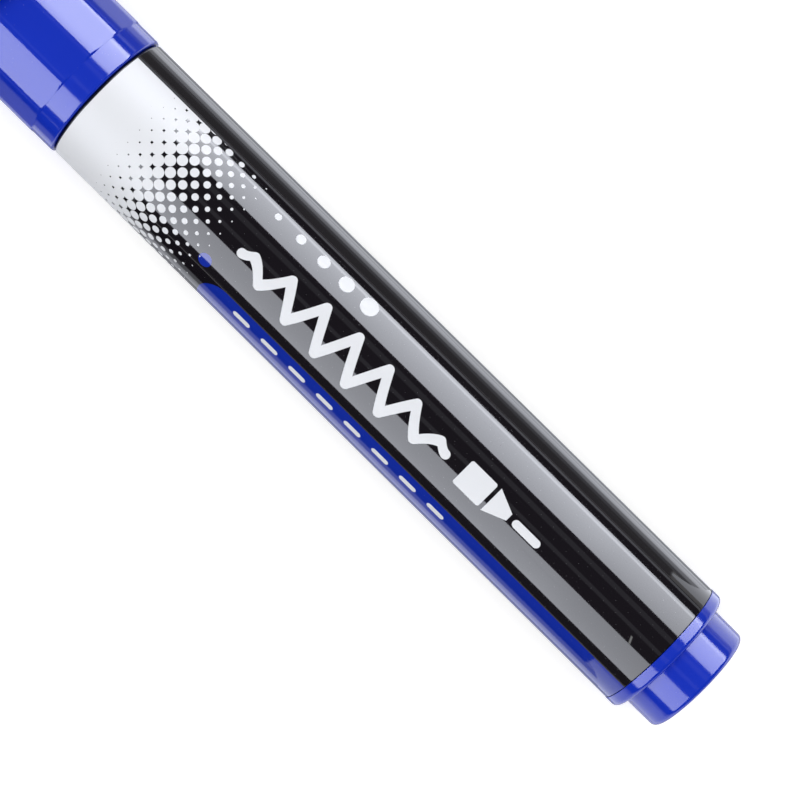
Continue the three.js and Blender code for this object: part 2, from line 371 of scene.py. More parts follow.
def fromEnds(tree, given, clamp=False):  # distance from the start, as a share too, and past the ends
    fromStart = minus(tree, given["Along"], given["Start"])
    share = over(tree, fromStart, minus(tree, given["End"], given["Start"]), clamp=clamp)
    pastEnds = largest(tree, times(tree, fromStart, -1), minus(tree, given["Along"], given["End"]))
    return fromStart, share, pastEnds


def barMask(tree, given):  # a bar with round corners, which may lean
    across = fromCentre(tree, given, "Around")
    upright = minus(tree, fromCentre(tree, given, "Along"), times(tree, across, given["Lean"]))

    def outside(value, half):
        core = minus(tree, half, given["Corner"])
        return minus(tree, calc("ABSOLUTE", tree, value), core)

    u = outside(upright, given["Half Length"])
    v = outside(across, given["Half Width"])
    corner = hypotenuse(tree, largest(tree, u, 0), largest(tree, v, 0))
    inside = calc("MINIMUM", tree, largest(tree, u, v), 0)
    return softMask(tree, given, minus(tree, plus(tree, corner, inside), given["Corner"]))


def dotMask(tree, given):
    reach = hypotenuse(tree, fromCentre(tree, given, "Around"), fromCentre(tree, given, "Along"))
    return softMask(tree, given, minus(tree, reach, given["Radius"]))


def waveMask(tree, given):  # a pen stroke that swings from side to side, most in the middle
    fromStart, share, pastEnds = fromEnds(tree, given, clamp=True)
    bow = calc("SINE", tree, times(tree, share, math.pi), clamp=True)
    swing = times(tree, given["Swing"], calc("POWER", tree, bow, given["Fullness"]))
    run = times(tree, given["Period"], 0.5)
    rise = times(tree, swing, 2)
    folded = calc("PINGPONG", tree, timesPlus(tree, given["Period"], 0.25, fromStart), run)
    fromLow = plus(tree, fromCentre(tree, given, "Around"), swing)
    forward = timesPlus(tree, folded, run, times(tree, fromLow, rise))
    squared = timesPlus(tree, run, run, times(tree, rise, rise))
    nearest = over(tree, forward, squared, clamp=True)  # as a share of one leg of the zigzag
    offLine = hypotenuse(tree, minus(tree, folded, times(tree, nearest, run)),
                         minus(tree, fromLow, times(tree, nearest, rise)))
    reach = hypotenuse(tree, largest(tree, pastEnds, 0), offLine)
    return softMask(tree, given, minus(tree, reach, given["Half Stroke"]))


def taperMask(tree, given):  # a bar that changes its width evenly from one end to the other
    _, share, pastEnds = fromEnds(tree, given)
    change = minus(tree, given["End Half Width"], given["Start Half Width"])
    half = timesPlus(tree, share, change, given["Start Half Width"])
    pastSide = minus(tree, calc("ABSOLUTE", tree, fromCentre(tree, given, "Around")), half)
    return softMask(tree, given, largest(tree, pastSide, pastEnds))


def fadeMask(tree, given):  # staggered rows of dots that shrink from solid colour to nothing
    fading = minus(tree, given["Fade End"], given["Solid Until"])

    def gridMask(shift):
        u = plus(tree, over(tree, given["Along"], given["Pitch"]), shift)
        v = plus(tree, over(tree, given["Around"], given["Pitch"]), shift)
        column = plus(tree, calc("FLOOR", tree, u), 0.5)
        station = times(tree, minus(tree, column, shift), given["Pitch"])
        left = over(tree, minus(tree, given["Fade End"], station), fading, clamp=True)
        radius = times(tree, calc("POWER", tree, left, given["Fullness"]), given["Largest"])
        reach = hypotenuse(tree, minus(tree, u, column), minus(tree, calc("FRACT", tree, v), 0.5))
        return softMask(tree, given, times(tree, minus(tree, reach, radius), given["Pitch"]))

    return largest(tree, gridMask(0.0), gridMask(0.5))


unrolled = unrolledGroup()
barMark = markGroup("bar mark", {
    "Centre Along": 0.0, "Centre Around": 0.0, "Half Length": 1.0, "Half Width": 1.0, "Lean": 0.0,
    "Corner": 0.2}, barMask)
dotMark = markGroup("dot mark", {"Centre Along": 0.0, "Centre Around": 0.0, "Radius": 1.0}, dotMask)
waveMark = markGroup("wave mark", {
    "Start": 0.0, "End": 30.0, "Centre Around": 0.0, "Period": 5.0, "Swing": 2.0, "Fullness": 0.6,
    "Half Stroke": 0.5}, waveMask)
taperMark = markGroup("taper mark", {
    "Start": 0.0, "End": 3.0, "Centre Around": 0.0, "Start Half Width": 1.0,
    "End Half Width": 0.5}, taperMask)
dotFade = markGroup("dot fade", {
    "Pitch": 2.0, "Solid Until": 0.0, "Fade End": 10.0, "Fullness": 0.8, "Largest": 0.54}, fadeMask)


# Shader node groups for surfaces: the unevenness of moulding, and marks from handling

def noise(tree, scale, turn=(0, 0, 0), **values):  # three scales stretch the pattern
    where = objectPlace(tree)
    if isinstance(scale, tuple):
        where = nodeOut(tree, "ShaderNodeMapping", {"Vector": where, "Rotation": turn, "Scale": scale})
        scale = 1.0
    made = addNode(tree, "ShaderNodeTexNoise", {"Vector": where, "Scale": scale})
    putNamed(tree, made.inputs, values)
    return made.outputs[0]


def mouldedGroup():
    tree, given, out = newTree("moulded surface", {
        "Grain Scale": 900.0, "Grain Share": 0.25, "Ripple Scale": 120.0}, "Height", "Tone")
    grain = noise(tree, given["Grain Scale"], detail=3.0, roughness=0.55)
    ripple = noise(tree, given["Ripple Scale"], detail=1.0, roughness=0.4)
    put(tree, out["Height"], timesPlus(tree, grain, given["Grain Share"], ripple))
    put(tree, out["Tone"], ripple)
    return tree


def handlingGroup():  # dust specks in patches, and slanted hairline scratches
    tree, given, out = newTree("handling marks", {
        "Speck Scale": 1500.0, "Speck Amount": 0.17, "Speck Contrast": 14.0, "Patch Scale": 140.0,
        "Scratch Level": 0.66, "Scratch Contrast": 9.0}, "Dust", "Scratches")
    inputs = {"Vector": objectPlace(tree), "Scale": given["Speck Scale"]}
    fromSpeck = addNode(tree, "ShaderNodeTexVoronoi", inputs).outputs["Distance"]
    size = times(tree, noise(tree, given["Patch Scale"], detail=2.0), given["Speck Amount"])
    near = minus(tree, size, fromSpeck)
    put(tree, out["Dust"], times(tree, near, given["Speck Contrast"], clamp=True))
    hair = noise(tree, (60, 2400, 2400), turn=(0.3, 0.5, 0.35), detail=1.0, distortion=0.4)
    crest = minus(tree, hair, given["Scratch Level"])
    put(tree, out["Scratches"], times(tree, crest, given["Scratch Contrast"], clamp=True))
    return tree


moulded = mouldedGroup()
handling = handlingGroup()
print("node groups built")


# Materials

def newMaterial(name, **sockets):  # plain values go straight onto the shader's own sockets
    material = bpy.data.materials.new(name)
    material.use_nodes = True
    tree = material.node_tree
    shader = next(node for node in tree.nodes if node.type == "BSDF_PRINCIPLED")
    putNamed(tree, shader.inputs, sockets)
    return material, tree, shader


def mixed(tree, mask, base, top):  # one colour over another
    made = addNode(tree, "ShaderNodeMix", {0: mask}, data_type="RGBA")
    for socket, colour in zip(made.inputs[6:8], (base, top)):
        put(tree, socket, (*colour, 1) if isinstance(colour, tuple) else colour)
    return made.outputs[2]


def setLook(tree, shader, colour, roughness, height, depth):  # depth is the bump's, in metres
    bump = nodeOut(tree, "ShaderNodeBump", {"Height": height, "Distance": depth})
    putNamed(tree, shader.inputs, {"baseColor": colour, "roughness": roughness, "normal": bump})


def handled(tree, look, clean):  # the colour with dust, and the roughness with dust and scratches
    marks = useGroup(tree, handling)
    dust = times(tree, marks["Dust"], look["dust"])
    scratches = times(tree, marks["Scratches"], look["scratches"])
    roughness = between(tree, largest(tree, marks["Dust"], scratches), *look["roughness"])
    return mixed(tree, dust, clean, look["dustColour"]), roughness


def plasticMaterial(name, look, **sockets):  # moulded plastic with faint ripples, dust and hairlines
    material, tree, shader = newMaterial(name, **sockets)
    surface = useGroup(tree, moulded)
    colour, roughness = handled(tree, look, mixed(tree, surface["Tone"], look["shade"], look["colour"]))
    setLook(tree, shader, colour, roughness, surface["Height"], look["ripple"])
    return material


bluePlasticLook = {
    "colour": (0.006, 0.032, 0.52),
    "shade": (0.005, 0.027, 0.46),
    "dustColour": (0.35, 0.38, 0.5), "dust": 0.10,
    "scratches": 0.3,
    "roughness": (0.11, 0.36),
    "ripple": 0.000006,
}
blackPlasticLook = {
    "colour": (0.012, 0.011, 0.013),
    "shade": (0.009, 0.008, 0.010),
    "dustColour": (0.20, 0.20, 0.21), "dust": 0.10,
    "scratches": 0.5,
    "roughness": (0.30, 0.55),
    "ripple": 0.000008,
}
naturalPlasticLook = {
    "colour": (0.80, 0.82, 0.84),
    "shade": (0.72, 0.74, 0.77),
    "dustColour": (0.55, 0.55, 0.55), "dust": 0.05,
    "scratches": 0.2,
    "roughness": (0.38, 0.63),
    "ripple": 0.000008,
}

printDesign = {
    "black": (0.0085, 0.0070, 0.0098),
    "blue": (0.008, 0.028, 0.36),
    "white": (0.70, 0.715, 0.75), "whiteRoughness": 0.6,
    "panel": {"around": -3.4, "width": 19.2, "edge": 0.05},
    "stripe": {"start": -1.9, "from": -6.85, "to": -14.4, "corner": 3.0},
    "blueDot": {"centreAlong": -3.1, "centreAround": -5.55, "radius": 0.85},
    "dotFade": {"solidUntil": -20.5, "fadeEnd": -3.0},
    "dotsAround": 28,
    "sizeDots": {"start": -0.6, "pitch": 3.5, "count": 5, "around": 4.15, "smallest": 0.42, "growth": 0.17},
    "wave": {"start": -0.6, "end": 30.6, "centreAround": -1.75, "period": 4.8, "swing": 2.5,
             "halfStroke": 0.575},
    "tip": {"around": -1.75, "width": 3.4, "line": 1.0, "bodyStart": 33.2, "bodyEnd": 37.1, "corner": 0.3,
            "coneStart": 37.6, "coneEnd": 40.4, "lineStart": 41.0, "lineEnd": 45.0},
    "dashes": {"start": 4.2, "pitch": 4.3, "count": 8, "around": -8.35, "length": 2.5, "height": 0.75},
    "nick": {"centreAlong": 59.2, "centreAround": -1.95, "halfLength": 0.1, "halfWidth": 0.375,
             "lean": -0.45, "corner": 0.05, "softness": 0.2},
    "nickColour": (0.2, 0.2, 0.2),
}
filmLook = {
    "dustColour": (0.3, 0.3, 0.31), "dust": 0.05,
    "scratches": 0.5,
    "roughness": (0.055, 0.3),
    "ripple": 0.000010,
    "waveScale": (28, 420, 420),
}


def spanned(start, end):  # a stretch's middle and length
    return (start + end) / 2, end - start


def filmMaterial():
    material, tree, shader = newMaterial("printed film")
    design = printDesign
    filmRadius = radiusOf("printed_film")
    along, around = useGroup(tree, unrolled, radius=filmRadius)

    def mark(group, **sizes):
        return useGroup(tree, group, along=along, around=around, **sizes)["Mask"]

    def bar(middle, length, middleAround, width, corner):
        return mark(barMark, centreAlong=middle, halfLength=length / 2, centreAround=middleAround,
                    halfWidth=width / 2, corner=corner)

    def joined(masks):
        whole = masks[0]
        for mask in masks[1:]:
            whole = largest(tree, whole, mask)
        return whole

    stripe = design["stripe"]
    stripeEnd = filmBack + 2 * stripe["corner"]
    blue = joined([
        bar(*spanned(stripe["start"], stripeEnd), *spanned(stripe["to"], stripe["from"]), stripe["corner"]),
        mark(dotMark, **design["blueDot"]),
    ])

    pitch = math.tau * filmRadius / design["dotsAround"]
    fade = mark(dotFade, pitch=pitch, **design["dotFade"])
    sizes = design["sizeDots"]
    dots = [mark(dotMark, centreAlong=sizes["start"] + sizes["pitch"] * index, centreAround=sizes["around"],
                 radius=sizes["smallest"] + sizes["growth"] * index) for index in range(sizes["count"])]
    stroke = mark(waveMark, **design["wave"])
    dash = design["dashes"]
    dashes = [bar(dash["start"] + dash["pitch"] * index, dash["length"], dash["around"], dash["height"],
                  dash["height"] / 2) for index in range(dash["count"])]

    tip = design["tip"]  # a plain picture of a bullet nib that draws a line
    holder = bar(*spanned(tip["bodyStart"], tip["bodyEnd"]), tip["around"], tip["width"], tip["corner"])
    cone = mark(taperMark, start=tip["coneStart"], end=tip["coneEnd"], centreAround=tip["around"],
                startHalfWidth=tip["width"] / 2, endHalfWidth=tip["line"] / 2)
    drawn = bar(*spanned(tip["lineStart"], tip["lineEnd"]), tip["around"], tip["line"], tip["line"] / 2)

    panel = design["panel"]  # the fade is printed on the front and again on the back
    halfTurn = math.pi * filmRadius
    fromPanel = calc("PINGPONG", tree, minus(tree, around, panel["around"]), halfTurn / 2)
    inPanel = over(tree, minus(tree, panel["width"] / 2, fromPanel), panel["edge"], clamp=True)

    white = joined([times(tree, fade, inPanel), *dots, stroke, holder, cone, drawn, *dashes])
    colour = mixed(tree, blue, design["black"], design["blue"])
    colour = mixed(tree, white, colour, design["white"])
    colour = mixed(tree, mark(barMark, **design["nick"]), colour, design["nickColour"])
    colour, bare = handled(tree, filmLook, colour)
    roughness = largest(tree, bare, times(tree, white, design["whiteRoughness"]))
    waviness = noise(tree, filmLook["waveScale"], detail=1.0)
    setLook(tree, shader, colour, roughness, waviness, filmLook["ripple"])
    return material


def fibreMaterial(name, look, **sockets):  # bundled fibres along the marker, darker where the ink gathers
    material, tree, shader = newMaterial(name, **sockets)
    strands = noise(tree, look["combing"], detail=4.0, roughness=0.7, distortion=0.3)
    pools = noise(tree, look["poolScale"], detail=2.0)
    dry = times(tree, times(tree, strands, pools), look["contrast"], clamp=True)
    colour = mixed(tree, dry, look["dark"], look["light"])
    setLook(tree, shader, colour, between(tree, pools, *look["roughness"]), strands, look["depth"])
    return material


nibLook = {
    "dark": (0.005, 0.008, 0.07),
    "light": (0.012, 0.026, 0.25),
    "combing": (300, 5200, 5200),
    "depth": 0.00003, "poolScale": 260.0, "contrast": 2.6,
    "roughness": (0.55, 0.95),
}
coreLook = {
    **nibLook,
    "dark": (0.010, 0.018, 0.16),
    "light": (0.04, 0.07, 0.5),
    "combing": (220, 3200, 3200),
    "depth": 0.00008,
}
wrapLook = {
    "dark": (0.50, 0.56, 0.70),
    "light": (0.74, 0.78, 0.86),
    "drawing": (40, 1800, 1800),
    "depth": 0.00001,
    "roughness": (0.12, 0.35),
}


def wrapMaterial():  # thin clear film with faint lengthwise streaks
    material, tree, shader = newMaterial("clear wrap", transmissionWeight=0.85, IOR=1.49)
    streaks = noise(tree, wrapLook["drawing"], detail=2.0)
    colour = mixed(tree, streaks, wrapLook["dark"], wrapLook["light"])
    roughness = between(tree, streaks, *wrapLook["roughness"])
    setLook(tree, shader, colour, roughness, streaks, wrapLook["depth"])
    return material


bluePlastic = plasticMaterial("blue plastic", bluePlasticLook)
blackPlastic = plasticMaterial("black plastic", blackPlasticLook)
naturalPlastic = plasticMaterial("natural plastic", naturalPlasticLook, subsurfaceWeight=0.25,
                                 subsurfaceScale=0.002)
printedFilm = filmMaterial()
nibFibre = fibreMaterial("nib fibre", nibLook, specularIORLevel=0.12)
coreFibre = fibreMaterial("reservoir fibre", coreLook, specularIORLevel=0.2, sheenWeight=0.3)
clearWrap = wrapMaterial()
print("materials made")


# Barrel, with its neck, snap bead and inner ribs

barrel = {
    "taper": 0.3, "wall": 1.25, "stepWall": 1.6,
    "neckRadius": 6.9, "neckWall": 1.2, "neckRound": 0.3,
    "shoulderRound": 0.3,
    "beadSetback": 3.2, "beadWidth": 1.4, "beadHeight": 0.15,
    "ribCount": 6, "ribWidth": 0.9, "ribHeight": 0.35, "ribEndMargin": 2,
}
barrelRadius = radiusOf("barrel")
barrelFrontRadius = barrelRadius - barrel["taper"] / 2
barrelBore = barrelRadius - barrel["wall"]
neckRadius = barrel["neckRadius"]
neckBore = neckRadius - barrel["neckWall"]


def beadCorners(x, radius, sizes):  # from its -X foot to its +X foot
    width, height = sizes["beadWidth"], sizes["beadHeight"]
    shares = ((-1 / 2, 0), (-1 / 6, 1), (1 / 6, 1), (1 / 2, 0))
    return [(x + width * along, radius + height * up, 0.3) for along, up in shares]


def makeBarrel():
    bead = beadCorners(shoulder - barrel["beadSetback"], neckRadius, barrel)
    step = shoulder + barrel["stepWall"]
    tube = turned("barrel_tube", [
        (neckFront, neckBore, 0.15),
        (neckFront, neckRadius, barrel["neckRound"]),
        *bead,
        (shoulder, neckRadius, 0.08),
        (shoulder, barrelFrontRadius, barrel["shoulderRound"]),
        (barrelBack, barrelRadius, 0.08),
        (barrelBack, barrelBore, 0.12),
        (step, barrelBore, 0.2),
        (step, neckBore, 0.15),
    ])
    ribs = bars("ribs", blackPlastic, barrel["ribCount"],
                (step - fits["root"], skirtFront - barrel["ribEndMargin"]),
                (barrelBore - barrel["ribHeight"], barrelBore + fits["root"]), barrel["ribWidth"],
                rounding=0.1)
    combined(tube, ribs, "UNION")
    place(tube, blackPlastic, "pen_body", "barrel")


# Printed film round the barrel

film = {"thickness": 0.12, "gap": 0.03, "edgeRound": 0.04, "endInset": 0.03}


def makeFilm():
    filmEnd = barrelBack - film["endInset"]
    slope = (barrelRadius - barrelFrontRadius) / (barrelBack - shoulder)
    innerFront, innerBack = (barrelFrontRadius + slope * (x - shoulder) + film["gap"]
                             for x in (filmFront, filmEnd))
    sleeve = turned("film_sleeve", [
        (filmFront, innerFront),
        (filmFront, innerFront + film["thickness"], film["edgeRound"]),
        (filmEnd, innerBack + film["thickness"], film["edgeRound"]),
        (filmEnd, innerBack),
    ], sides=192, steps=3)
    place(sleeve, printedFilm, "pen_body", "printed_film")


# Nib section: nose, cone, seal land, flange, skirt and nib sleeve, with vent grooves in its bore

section = {
    "noseLength": 1, "noseRound": 0.5, "noseWall": 1,
    "coneLength": 6,
    "sealLength": 4.5, "sealRadius": 5.1,
    "flangeLength": 1.2, "flangeStep": 0.6,
    "skirtLength": 9, "skirtWall": 0.9,
    "sleeveWall": 0.7,
    "grooveCount": 3, "grooveWidth": 0.6, "grooveDepth": 0.25,
}
nibRadius = radiusOf("nib")
nibBore = nibRadius + fits["sliding"]


def makeSection():
    noseRadius = nibBore + section["noseWall"]
    coneFront = noseFront + section["noseLength"]
    sealFront = coneFront + section["coneLength"]
    flangeFront = sealFront + section["sealLength"]
    flangeBack = flangeFront + section["flangeLength"]
    flangeRadius = neckRadius - section["flangeStep"]
    skirtRadius = neckBore - fits["sliding"]
    skirtBore = skirtRadius - section["skirtWall"]
    sleeveRadius = nibBore + section["sleeveWall"]
    skirtBack = flangeBack + section["skirtLength"]
    holder = turned("nib_holder", [
        (noseFront, nibBore, 0.12),
        (noseFront, noseRadius, section["noseRound"]),
        (coneFront, noseRadius, 0.6),
        (sealFront, section["sealRadius"], 0.5),
        (flangeFront, section["sealRadius"], 0.2),
        (flangeFront, flangeRadius, 0.2),
        (flangeBack, flangeRadius, 0.1),
        (flangeBack, skirtRadius, 0.06),
        (skirtBack, skirtRadius, 0.2),
        (skirtBack, skirtBore, 0.1),
        (flangeBack, skirtBore, 0.2),
        (flangeBack, sleeveRadius, 0.2),
        (sleeveBack, sleeveRadius, 0.1),
        (sleeveBack, nibBore, 0.1),
    ])
    grooves = bars("grooves", blackPlastic, section["grooveCount"], (noseFront - 1, sleeveBack + 1),
                   (nibBore / 2, nibBore + section["grooveDepth"]), section["grooveWidth"], rounding=0)
    combined(holder, grooves, "DIFFERENCE")
    place(holder, blackPlastic, "pen_body", "nib_section")


# Nib: a bullet point in front and a blunt cone behind

nib = {"pointLength": 3.4, "pointFullness": 1.75, "pointBlend": 0.58, "pointSteps": 18, "tailLength": 2.5,
       "tailRadius": 0.8}


def bulletRadius(share):  # 0 at the tip and 1 where the point meets the rod
    return nibRadius * (1 - (1 - share) ** nib["pointFullness"]) ** nib["pointBlend"]


def makeNib():
    shares = [(step / nib["pointSteps"]) ** 2 for step in range(nib["pointSteps"] + 1)]
    rod = turned("nib_rod", [
        *[(nibTip + nib["pointLength"] * share, bulletRadius(share)) for share in shares],
        (nibBack - nib["tailLength"], nibRadius, 0.4),
        (nibBack, nib["tailRadius"], 0.3),
        (nibBack, 0),
    ], sides=96)
    place(rod, nibFibre, "pen_body", "nib")


# Reservoir: a fibre rod with a socket for the nib, in a clear wrap

reservoir = {"wrapThickness": 0.2, "edgeRound": 0.35}


def makeReservoir():
    wrapRadius = radiusOf("reservoir_wrap")
    wrapBore = wrapRadius - reservoir["wrapThickness"]
    coreRadius = wrapBore - fits["sliding"]
    socketBack = nibBack + fits["sliding"]
    core = turned("ink_core", [
        (coreFront, nibBore, 0.3),
        (coreFront, coreRadius, reservoir["edgeRound"]),
        (coreBack, coreRadius, reservoir["edgeRound"]),
        (coreBack, 0),
        (socketBack, 0),
        (socketBack, nib["tailRadius"] + fits["sliding"]),
        (nibBack - nib["tailLength"], nibBore),
    ], sides=128)
    place(core, coreFibre, "pen_body", "reservoir_core")
    wrap = turned("core_wrap", [
        (coreFront, wrapBore),
        (coreFront, wrapRadius, 0.08),
        (coreBack, wrapRadius, 0.08),
        (coreBack, wrapBore),
    ], sides=128, steps=3)
    place(wrap, clearWrap, "pen_body", "reservoir_wrap")


# Tail plug: knob, flange and a hollow skirt with sealing beads

plug = {
    "knobLength": 4.7, "knobRound": 0.7, "knobGrooveRound": 0.12,
    "flangeLength": 1.5, "flangeRound": 0.6, "flangeSeat": 0.07,
    "wall": 1.25, "endWall": 1.6,
    "skirtRadius": 6.85, "leadIn": 0.8,
    "beadPitch": 2.6, "beadWidth": 1.1, "beadHeight": 0.15, "beadCount": 2,
    "gateRadius": 1.3, "gateDepth": 0.15,
}
capBore = 7.1
knobRadius = capBore - fits["sliding"]


def makePlug():
    flangeBack = knobBack - plug["knobLength"]
    flangeFront = flangeBack - plug["flangeLength"] - plug["flangeSeat"]
    gateFloor = knobBack - plug["gateDepth"]
    skirt = plug["skirtRadius"]
    hollow = skirt - plug["wall"]
    beads = []
    for number in range(plug["beadCount"], 0, -1):
        beads += beadCorners(flangeFront - plug["beadPitch"] * number, skirt, plug)
    moulding = turned("plug_moulding", [
        (skirtFront, hollow, 0.2),
        (skirtFront, skirt - plug["leadIn"] / 2, 0.15),
        (skirtFront + plug["leadIn"], skirt, 0.3),
        *beads,
        (flangeFront, skirt, 0.06),
        (flangeFront, bodyRadius, 0.05),
        (flangeBack, bodyRadius, plug["flangeRound"]),
        (flangeBack, knobRadius, plug["knobGrooveRound"]),
        (knobBack, knobRadius, plug["knobRound"]),
        (knobBack, plug["gateRadius"], 0.08),
        (gateFloor, plug["gateRadius"] - plug["gateDepth"], 0.08),
        (gateFloor, 0),
        (knobBack - plug["endWall"], 0),
        (knobBack - plug["endWall"], hollow, 0.4),
    ], sides=192, steps=9)
    place(moulding, bluePlastic, "tail_plug", "tail_plug")


# Cap: a twelve-sided shell with a round collar, a pocket clip and vents in its closed end

cap = {
    "sides": 12,
    "cornerRadius": 8.7, "cornerBlend": 0.16,
    "endWall": 1.5, "endRound": 1.6,
    "collarLength": 3.2, "collarSlope": 0.2,
    "mouthRound": 0.35,
    "ventCount": 3, "ventRadius": 0.9, "ventInset": 2.5, "ventSegments": 40,
    "gateRadius": 1.2, "gateDepth": 0.15,
}
clip = {
    "width": 4.2, "thickness": 1.5, "length": 29, "gap": 2.1,
    "rootStart": 1.8, "rootLength": 5.2, "rootSink": 0.4,
    "bumpLength": 3.6, "bumpPull": 0.7, "bumpClearance": 0.4,
    "crown": 0.16, "tipRound": 1.7, "edgeRound": 0.38,
    "edgeRows": (0, 0.04, 0.15, 0.33, 0.6, 1.0),  # shares of the edge's round
}


def curve(start, pull, end, steps=7):  # a quadratic curve without its first point
    points = []
    for step in range(1, steps + 1):
        t = step / steps
        points.append(Vector(start) * (1 - t) ** 2 + Vector(pull) * 2 * t * (1 - t) + Vector(end) * t ** 2)
    return points


def clipOutline():  # the clip's side view: station from the closed end, distance from the axis
    inner = bodyRadius + clip["gap"]
    outer = inner + clip["thickness"]
    start = clip["rootStart"]
    back = start + clip["rootLength"]
    depth = bodyRadius - clip["rootSink"]
    tip = start + clip["length"]
    bumpStart = tip - clip["bumpLength"]
    bumpTop = bodyRadius + clip["bumpClearance"]
    bumpMiddle = tip - clip["bumpLength"] / 2
    half = clip["gap"] / 2
    return [
        Vector((start, depth)),
        Vector((back + half, depth)),
        Vector((back + half, bodyRadius)),
        *curve((back + half, bodyRadius), (back, bodyRadius), (back, inner - half)),
        *curve((back, inner - half), (back, inner), (back + clip["gap"], inner)),
        Vector((bumpStart, inner)),
        *curve((bumpStart, inner), (tip - clip["bumpLength"] * clip["bumpPull"], bumpTop),
               (bumpMiddle, bumpTop)),
        *curve((bumpMiddle, bumpTop), (tip, bumpTop), (tip, inner)),
        *curve((tip, inner), (tip, outer), (tip - clip["thickness"], outer)),
        Vector((tip - 2 * clip["tipRound"], outer)),
        Vector((back, outer)),
        *curve((back, outer), (start + clip["thickness"] / 2, outer), (start, bodyRadius)),
    ]


def outwardNormals(outline):  # the direction out of the outline at each of its points
    normals = []
    for before, here, ahead in withNeighbours(outline):
        along = (here - before).normalized() + (ahead - here).normalized()
        normals.append(Vector((along.y, -along.x)).normalized())
    return normals


def drawnIn(y, half, radius):  # how far a side's quarter round pulls in at y
    into = max(0, abs(y) - (half - radius)) / radius
    return radius * (1 - math.sqrt(max(0, 1 - into ** 2)))


def makeClip():
    outline = clipOutline()
    normals = outwardNormals(outline)
    half = clip["width"] / 2
    tip = clip["rootStart"] + clip["length"]
    tipZone = 2 * clip["tipRound"]
    offsets = [-half + clip["edgeRound"] * share for share in clip["edgeRows"]]
    offsets += [0] + [-offset for offset in reversed(offsets)]
    verts, faces = [], []
    for y in offsets:
        inset = drawnIn(y, half, clip["edgeRound"])
        pull = drawnIn(y, half, clip["tipRound"])
        for point, normal in zip(outline, normals):
            station, height = point - normal * inset
            nearTip = max(0, min(1, (station - (tip - tipZone)) / tipZone))
            station -= pull * nearTip
            if point.y > bodyRadius + clip["gap"]:
                height -= clip["crown"] * (y / half) ** 2
            verts.append(((capFront + station) * mm, y * mm, (axisHeight + height) * mm))
    count = len(outline)
    for row in range(len(offsets) - 1):
        for index in range(count):
            ahead = (index + 1) % count
            faces.append([row * count + index, row * count + ahead,
                          (row + 1) * count + ahead, (row + 1) * count + index])
    faces.append(list(range(count)))
    faces.append([(len(offsets) - 1) * count + index for index in range(count)])
    return meshObject("clip", verts, faces)


def makeVents():
    radius = cap["ventRadius"] * mm
    cutter = bmesh.new()
    for index in range(cap["ventCount"]):
        angle = math.tau * index / cap["ventCount"]
        middle = besideAxis(capFront + cap["endWall"] / 2, capBore - cap["ventInset"], angle)
        bmesh.ops.create_cone(cutter, cap_ends=True, segments=cap["ventSegments"], radius1=radius,
                              radius2=radius, depth=2 * cap["endWall"] * mm,
                              matrix=Matrix.Translation(middle) @ Matrix.Rotation(math.pi / 2, 4, "Y"))
    mesh = bpy.data.meshes.new("vents")
    cutter.to_mesh(mesh)
    cutter.free()
    return linked("vents", mesh)


def makeCap():
    collarFront = capRim - cap["collarLength"]
    gateFloor = capFront + cap["gateDepth"]
    shell = turned("cap_moulding", [
        (gateFloor, 0),
        (gateFloor, cap["gateRadius"] - cap["gateDepth"], 0.08),
        (capFront, cap["gateRadius"], 0.08),
        (capFront, cap["cornerRadius"], cap["endRound"]),
        (collarFront, cap["cornerRadius"], 0.06),
        (collarFront + cap["collarSlope"], bodyRadius, 0.1),
        (capRim, bodyRadius, cap["mouthRound"]),
        (capRim, capBore + cap["mouthRound"], 0.08),
        (capRim - cap["mouthRound"], capBore, 0.15),
        (capFront + cap["endWall"], capBore, 0.3),
        (capFront + cap["endWall"], 0),
    ], sides=240, steps=9)
    shapedBy(shell, flatSides, sides=cap["sides"], flatRadius=bodyRadius * mm,
             cornerBlend=cap["cornerBlend"] * mm, material=bluePlastic)
    combined(shell, makeClip(), "UNION")
    combined(shell, makeVents(), "DIFFERENCE")
    place(shell, bluePlastic, "cap", "cap_shell")


# Inner cap: a thimble held in the shell by fins

liner = {
    "wall": 0.9, "endRound": 0.8, "standoff": 5.4,
    "finCount": 6, "finThickness": 0.9, "finHeight": 1.05, "finMouthMargin": 7,
    "endFinThickness": 0.88, "endFinClearance": 0.2,
    "hubRadius": 1.0, "hubOverlap": 0.15,
}


def makeLiner():
    outer = capBore - liner["finHeight"]
    bore = outer - liner["wall"]
    closedEnd = finFront + liner["standoff"]
    finReach = capBore - fits["sliding"]
    hub = liner["hubRadius"]  # the end fins meet in it
    thimble = turned("cap_liner", [
        (finFront, 0),
        (finFront, hub, 0.1),
        (closedEnd, hub, 0.1),
        (closedEnd, outer, liner["endRound"]),
        (thimbleMouth, outer, 0.2),
        (thimbleMouth, bore, 0.3),
        (closedEnd + liner["wall"], bore, 0.3),
        (closedEnd + liner["wall"], 0),
    ])
    firstAngle = 180 / liner["finCount"]
    longFins = bars("long_fins", naturalPlastic, liner["finCount"],
                    (finFront, thimbleMouth - liner["finMouthMargin"]), (outer - fits["root"], finReach),
                    liner["finThickness"], firstAngle)
    endFins = bars("end_fins", naturalPlastic, liner["finCount"], (finFront, closedEnd + fits["root"]),
                   (hub - liner["hubOverlap"], finReach - liner["endFinClearance"]),
                   liner["endFinThickness"], firstAngle)
    combined(thimble, longFins, "UNION")
    combined(thimble, endFins, "UNION")
    place(thimble, naturalPlastic, "cap", "inner_cap")


makeBarrel()
makeFilm()
makeSection()
makeNib()
makeReservoir()
makePlug()
makeCap()
makeLiner()


# Camera: straight above, turned so that the marker runs from the upper left to the lower right

view = {
    "place": (22.92, -0.98, 298.6),
    "axisRight": 0.7115, "axisDown": 0.7027,
    "lens": 116.3, "sensor": 36, "clipStart": 10,
}


